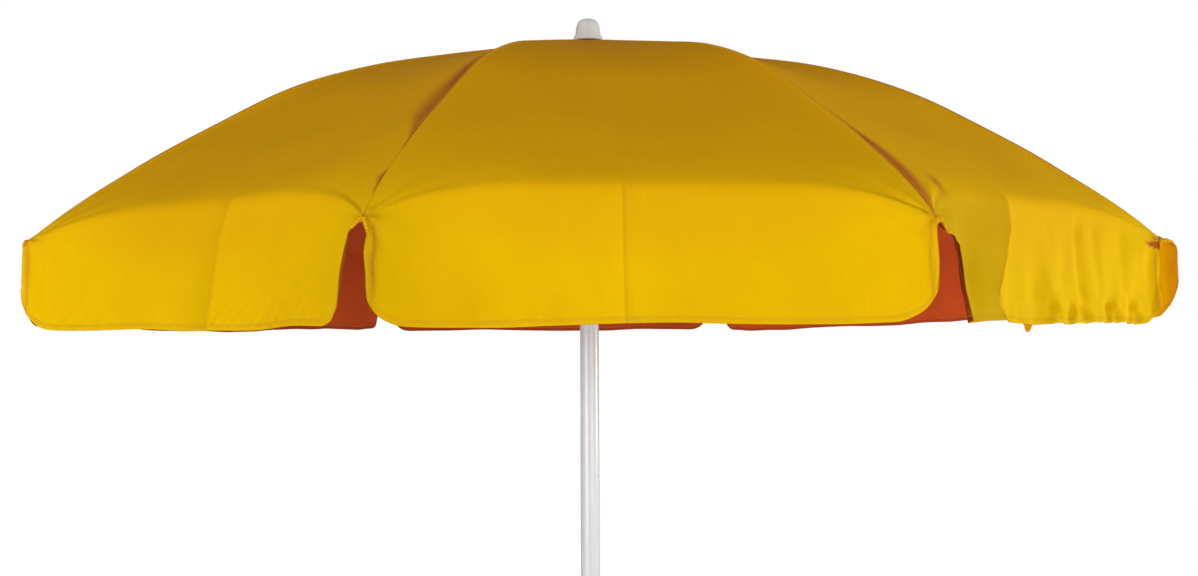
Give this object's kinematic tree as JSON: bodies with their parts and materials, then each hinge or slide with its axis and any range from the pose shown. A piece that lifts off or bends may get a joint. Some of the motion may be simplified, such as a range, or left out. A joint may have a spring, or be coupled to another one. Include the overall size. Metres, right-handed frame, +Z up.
{
  "type": "beach umbrella",
  "caption": "Beach umbrella with a domed fabric canopy of gores and hanging valance flaps, folding steel ribs on a sliding runner, and a telescoping tilting pole with a ground spike.",
  "frame": {"origin": "flat tip of the ground spike, on the pole's axis", "axes": "+Z up along the pole; rib 1 runs along +X and the other ribs follow every 45 degrees; the tilt pin lies along Y"},
  "size_m": [1.8668, 1.8668, 2.2],
  "materials": {
    "canopy_fabric": "matte",
    "rib_steel": "satin",
    "bright_steel": "satin",
    "pole_paint": "gloss",
    "grey_plastic": "satin",
    "finial_plastic": "satin",
    "tip_plastic": "satin",
    "dark_plastic": "satin"
  },
  "bodies": {
    "lower_section": {"lower_pole": "pole_paint", "ground_spike": "grey_plastic", "clamp_collar": "grey_plastic"},
    "clamp_knob": {"clamp_knob": "dark_plastic"},
    "middle_section": {"middle_pole": "pole_paint", "tilt_socket": "grey_plastic", "tilt_pin": "bright_steel"},
    "tilt_button": {"tilt_button": "dark_plastic"},
    "upper_section": {"upper_pole": "pole_paint", "tilt_tongue": "grey_plastic", "crown_hub": "grey_plastic", "crown_wire": "bright_steel", "finial": "finial_plastic", "spring_catch": "bright_steel"},
    "runner": {"runner": "grey_plastic", "runner_wire": "bright_steel"},
    "rib_1": {"rib_1": "rib_steel", "rib_tip_1": "tip_plastic"},
    "stretcher_1": {"stretcher_1": "rib_steel"},
    "rib_2": {"rib_2": "rib_steel", "rib_tip_2": "tip_plastic"},
    "stretcher_2": {"stretcher_2": "rib_steel"},
    "rib_3": {"rib_3": "rib_steel", "rib_tip_3": "tip_plastic"},
    "stretcher_3": {"stretcher_3": "rib_steel"},
    "rib_4": {"rib_4": "rib_steel", "rib_tip_4": "tip_plastic"},
    "stretcher_4": {"stretcher_4": "rib_steel"},
    "rib_5": {"rib_5": "rib_steel", "rib_tip_5": "tip_plastic"},
    "stretcher_5": {"stretcher_5": "rib_steel"},
    "rib_6": {"rib_6": "rib_steel", "rib_tip_6": "tip_plastic"},
    "stretcher_6": {"stretcher_6": "rib_steel"},
    "rib_7": {"rib_7": "rib_steel", "rib_tip_7": "tip_plastic"},
    "stretcher_7": {"stretcher_7": "rib_steel"},
    "rib_8": {"rib_8": "rib_steel", "rib_tip_8": "tip_plastic"},
    "stretcher_8": {"stretcher_8": "rib_steel"},
    "panel_1": {"canopy_panel_1": "canopy_fabric"},
    "flap_1": {"canopy_flap_1": "canopy_fabric"},
    "panel_2": {"canopy_panel_2": "canopy_fabric"},
    "flap_2": {"canopy_flap_2": "canopy_fabric"},
    "panel_3": {"canopy_panel_3": "canopy_fabric"},
    "flap_3": {"canopy_flap_3": "canopy_fabric"},
    "panel_4": {"canopy_panel_4": "canopy_fabric"},
    "flap_4": {"canopy_flap_4": "canopy_fabric"},
    "panel_5": {"canopy_panel_5": "canopy_fabric"},
    "flap_5": {"canopy_flap_5": "canopy_fabric"},
    "panel_6": {"canopy_panel_6": "canopy_fabric"},
    "flap_6": {"canopy_flap_6": "canopy_fabric"},
    "panel_7": {"canopy_panel_7": "canopy_fabric"},
    "flap_7": {"canopy_flap_7": "canopy_fabric"},
    "panel_8": {"canopy_panel_8": "canopy_fabric"},
    "flap_8": {"canopy_flap_8": "canopy_fabric"}
  },
  "joints": [
    {"name": "height_adjust", "type": "slide", "parent": "lower_section", "child": "middle_section", "axis": [0, 0, 1], "range_m": [-0.09, 0.2]},
    {"name": "clamp_knob_turn", "type": "hinge", "parent": "lower_section", "child": "clamp_knob", "pos_m": [0, 0, 0.802], "axis": [0, -1, 0], "range_deg": [0, 270]},
    {"name": "tilt", "type": "hinge", "parent": "middle_section", "child": "upper_section", "pos_m": [0, 0, 0.998], "axis": [0, 1, 0], "range_deg": [-35, 35]},
    {"name": "tilt_button_press", "type": "slide", "parent": "middle_section", "child": "tilt_button", "axis": [0, 1, 0], "range_m": [0, 0.004], "stiffness_N_per_m": 400},
    {"name": "canopy_fold", "type": "hinge", "parent": "upper_section", "child": "rib_1", "pos_m": [0.03, 0, 2.145], "axis": [0, 1, 0], "range_deg": [0, 67.45], "deforming": ["spring_catch", "canopy_panel_1", "canopy_panel_2", "canopy_panel_3", "canopy_panel_4", "canopy_panel_5", "canopy_panel_6", "canopy_panel_7", "canopy_panel_8", "canopy_flap_1", "canopy_flap_2", "canopy_flap_3", "canopy_flap_4", "canopy_flap_5", "canopy_flap_6", "canopy_flap_7", "canopy_flap_8"]},
    {"name": "stretcher_hinge_1", "type": "hinge", "parent": "rib_1", "child": "stretcher_1", "pos_m": [0.44, 0, 2.06807], "axis": [0, 1, 0], "range_deg": [-134.9, 0]},
    {"name": "rib_hinge_2", "type": "hinge", "parent": "upper_section", "child": "rib_2", "pos_m": [0.02121, 0.02121, 2.145], "axis": [-0.7071, 0.7071, 0], "range_deg": [0, 67.45]},
    {"name": "stretcher_hinge_2", "type": "hinge", "parent": "rib_2", "child": "stretcher_2", "pos_m": [0.31113, 0.31113, 2.06807], "axis": [-0.7071, 0.7071, 0], "range_deg": [-134.9, 0]},
    {"name": "rib_hinge_3", "type": "hinge", "parent": "upper_section", "child": "rib_3", "pos_m": [0, 0.03, 2.145], "axis": [-1, 0, 0], "range_deg": [0, 67.45]},
    {"name": "stretcher_hinge_3", "type": "hinge", "parent": "rib_3", "child": "stretcher_3", "pos_m": [0, 0.44, 2.06807], "axis": [-1, 0, 0], "range_deg": [-134.9, 0]},
    {"name": "rib_hinge_4", "type": "hinge", "parent": "upper_section", "child": "rib_4", "pos_m": [-0.02121, 0.02121, 2.145], "axis": [-0.7071, -0.7071, 0], "range_deg": [0, 67.45]},
    {"name": "stretcher_hinge_4", "type": "hinge", "parent": "rib_4", "child": "stretcher_4", "pos_m": [-0.31113, 0.31113, 2.06807], "axis": [-0.7071, -0.7071, 0], "range_deg": [-134.9, 0]},
    {"name": "rib_hinge_5", "type": "hinge", "parent": "upper_section", "child": "rib_5", "pos_m": [-0.03, 0, 2.145], "axis": [0, -1, 0], "range_deg": [0, 67.45]},
    {"name": "stretcher_hinge_5", "type": "hinge", "parent": "rib_5", "child": "stretcher_5", "pos_m": [-0.44, 0, 2.06807], "axis": [0, -1, 0], "range_deg": [-134.9, 0]},
    {"name": "rib_hinge_6", "type": "hinge", "parent": "upper_section", "child": "rib_6", "pos_m": [-0.02121, -0.02121, 2.145], "axis": [0.7071, -0.7071, 0], "range_deg": [0, 67.45]},
    {"name": "stretcher_hinge_6", "type": "hinge", "parent": "rib_6", "child": "stretcher_6", "pos_m": [-0.31113, -0.31113, 2.06807], "axis": [0.7071, -0.7071, 0], "range_deg": [-134.9, 0]},
    {"name": "rib_hinge_7", "type": "hinge", "parent": "upper_section", "child": "rib_7", "pos_m": [0, -0.03, 2.145], "axis": [1, 0, 0], "range_deg": [0, 67.45]},
    {"name": "stretcher_hinge_7", "type": "hinge", "parent": "rib_7", "child": "stretcher_7", "pos_m": [0, -0.44, 2.06807], "axis": [1, 0, 0], "range_deg": [-134.9, 0]},
    {"name": "rib_hinge_8", "type": "hinge", "parent": "upper_section", "child": "rib_8", "pos_m": [0.02121, -0.02121, 2.145], "axis": [0.7071, 0.7071, 0], "range_deg": [0, 67.45]},
    {"name": "stretcher_hinge_8", "type": "hinge", "parent": "rib_8", "child": "stretcher_8", "pos_m": [0.31113, -0.31113, 2.06807], "axis": [0.7071, 0.7071, 0], "range_deg": [-134.9, 0]},
    {"name": "runner_hinge", "type": "hinge", "parent": "stretcher_1", "child": "runner", "pos_m": [0.03, 0, 1.99113], "axis": [0, 1, 0], "range_deg": [0, 67.45]},
    {"name": "panel_hinge_1", "type": "hinge", "parent": "upper_section", "child": "panel_1", "pos_m": [0.02561, 0.01061, 2.145], "axis": [-0.3827, 0.9239, 0], "range_deg": [0, 64.76]},
    {"name": "flap_hinge_1", "type": "hinge", "parent": "panel_1", "child": "flap_1", "pos_m": [0.77421, 0.32069, 1.806], "axis": [-0.3827, 0.9239, 0], "range_deg": [-52.82, 0]},
    {"name": "panel_hinge_2", "type": "hinge", "parent": "upper_section", "child": "panel_2", "pos_m": [0.01061, 0.02561, 2.145], "axis": [-0.9239, 0.3827, 0], "range_deg": [0, 64.76]},
    {"name": "flap_hinge_2", "type": "hinge", "parent": "panel_2", "child": "flap_2", "pos_m": [0.32069, 0.77421, 1.806], "axis": [-0.9239, 0.3827, 0], "range_deg": [-52.82, 0]},
    {"name": "panel_hinge_3", "type": "hinge", "parent": "upper_section", "child": "panel_3", "pos_m": [-0.01061, 0.02561, 2.145], "axis": [-0.9239, -0.3827, 0], "range_deg": [0, 64.76]},
    {"name": "flap_hinge_3", "type": "hinge", "parent": "panel_3", "child": "flap_3", "pos_m": [-0.32069, 0.77421, 1.806], "axis": [-0.9239, -0.3827, 0], "range_deg": [-52.82, 0]},
    {"name": "panel_hinge_4", "type": "hinge", "parent": "upper_section", "child": "panel_4", "pos_m": [-0.02561, 0.01061, 2.145], "axis": [-0.3827, -0.9239, 0], "range_deg": [0, 64.76]},
    {"name": "flap_hinge_4", "type": "hinge", "parent": "panel_4", "child": "flap_4", "pos_m": [-0.77421, 0.32069, 1.806], "axis": [-0.3827, -0.9239, 0], "range_deg": [-52.82, 0]},
    {"name": "panel_hinge_5", "type": "hinge", "parent": "upper_section", "child": "panel_5", "pos_m": [-0.02561, -0.01061, 2.145], "axis": [0.3827, -0.9239, 0], "range_deg": [0, 64.76]},
    {"name": "flap_hinge_5", "type": "hinge", "parent": "panel_5", "child": "flap_5", "pos_m": [-0.77421, -0.32069, 1.806], "axis": [0.3827, -0.9239, 0], "range_deg": [-52.82, 0]},
    {"name": "panel_hinge_6", "type": "hinge", "parent": "upper_section", "child": "panel_6", "pos_m": [-0.01061, -0.02561, 2.145], "axis": [0.9239, -0.3827, 0], "range_deg": [0, 64.76]},
    {"name": "flap_hinge_6", "type": "hinge", "parent": "panel_6", "child": "flap_6", "pos_m": [-0.32069, -0.77421, 1.806], "axis": [0.9239, -0.3827, 0], "range_deg": [-52.82, 0]},
    {"name": "panel_hinge_7", "type": "hinge", "parent": "upper_section", "child": "panel_7", "pos_m": [0.01061, -0.02561, 2.145], "axis": [0.9239, 0.3827, 0], "range_deg": [0, 64.76]},
    {"name": "flap_hinge_7", "type": "hinge", "parent": "panel_7", "child": "flap_7", "pos_m": [0.32069, -0.77421, 1.806], "axis": [0.9239, 0.3827, 0], "range_deg": [-52.82, 0]},
    {"name": "panel_hinge_8", "type": "hinge", "parent": "upper_section", "child": "panel_8", "pos_m": [0.02561, -0.01061, 2.145], "axis": [0.3827, 0.9239, 0], "range_deg": [0, 64.76]},
    {"name": "flap_hinge_8", "type": "hinge", "parent": "panel_8", "child": "flap_8", "pos_m": [0.77421, -0.32069, 1.806], "axis": [0.3827, 0.9239, 0], "range_deg": [-52.82, 0]}
  ],
  "couplings": [
    {"joint": "stretcher_hinge_1", "follows": "canopy_fold", "ratio": -2},
    {"joint": "rib_hinge_2", "follows": "canopy_fold", "ratio": 1},
    {"joint": "stretcher_hinge_2", "follows": "canopy_fold", "ratio": -2},
    {"joint": "rib_hinge_3", "follows": "canopy_fold", "ratio": 1},
    {"joint": "stretcher_hinge_3", "follows": "canopy_fold", "ratio": -2},
    {"joint": "rib_hinge_4", "follows": "canopy_fold", "ratio": 1},
    {"joint": "stretcher_hinge_4", "follows": "canopy_fold", "ratio": -2},
    {"joint": "rib_hinge_5", "follows": "canopy_fold", "ratio": 1},
    {"joint": "stretcher_hinge_5", "follows": "canopy_fold", "ratio": -2},
    {"joint": "rib_hinge_6", "follows": "canopy_fold", "ratio": 1},
    {"joint": "stretcher_hinge_6", "follows": "canopy_fold", "ratio": -2},
    {"joint": "rib_hinge_7", "follows": "canopy_fold", "ratio": 1},
    {"joint": "stretcher_hinge_7", "follows": "canopy_fold", "ratio": -2},
    {"joint": "rib_hinge_8", "follows": "canopy_fold", "ratio": 1},
    {"joint": "stretcher_hinge_8", "follows": "canopy_fold", "ratio": -2},
    {"joint": "runner_hinge", "follows": "canopy_fold", "ratio": 1},
    {"joint": "panel_hinge_1", "follows": "canopy_fold", "ratio": 0.96},
    {"joint": "flap_hinge_1", "follows": "canopy_fold", "ratio": -0.783},
    {"joint": "panel_hinge_2", "follows": "canopy_fold", "ratio": 0.96},
    {"joint": "flap_hinge_2", "follows": "canopy_fold", "ratio": -0.783},
    {"joint": "panel_hinge_3", "follows": "canopy_fold", "ratio": 0.96},
    {"joint": "flap_hinge_3", "follows": "canopy_fold", "ratio": -0.783},
    {"joint": "panel_hinge_4", "follows": "canopy_fold", "ratio": 0.96},
    {"joint": "flap_hinge_4", "follows": "canopy_fold", "ratio": -0.783},
    {"joint": "panel_hinge_5", "follows": "canopy_fold", "ratio": 0.96},
    {"joint": "flap_hinge_5", "follows": "canopy_fold", "ratio": -0.783},
    {"joint": "panel_hinge_6", "follows": "canopy_fold", "ratio": 0.96},
    {"joint": "flap_hinge_6", "follows": "canopy_fold", "ratio": -0.783},
    {"joint": "panel_hinge_7", "follows": "canopy_fold", "ratio": 0.96},
    {"joint": "flap_hinge_7", "follows": "canopy_fold", "ratio": -0.783},
    {"joint": "panel_hinge_8", "follows": "canopy_fold", "ratio": 0.96},
    {"joint": "flap_hinge_8", "follows": "canopy_fold", "ratio": -0.783}
  ]
}
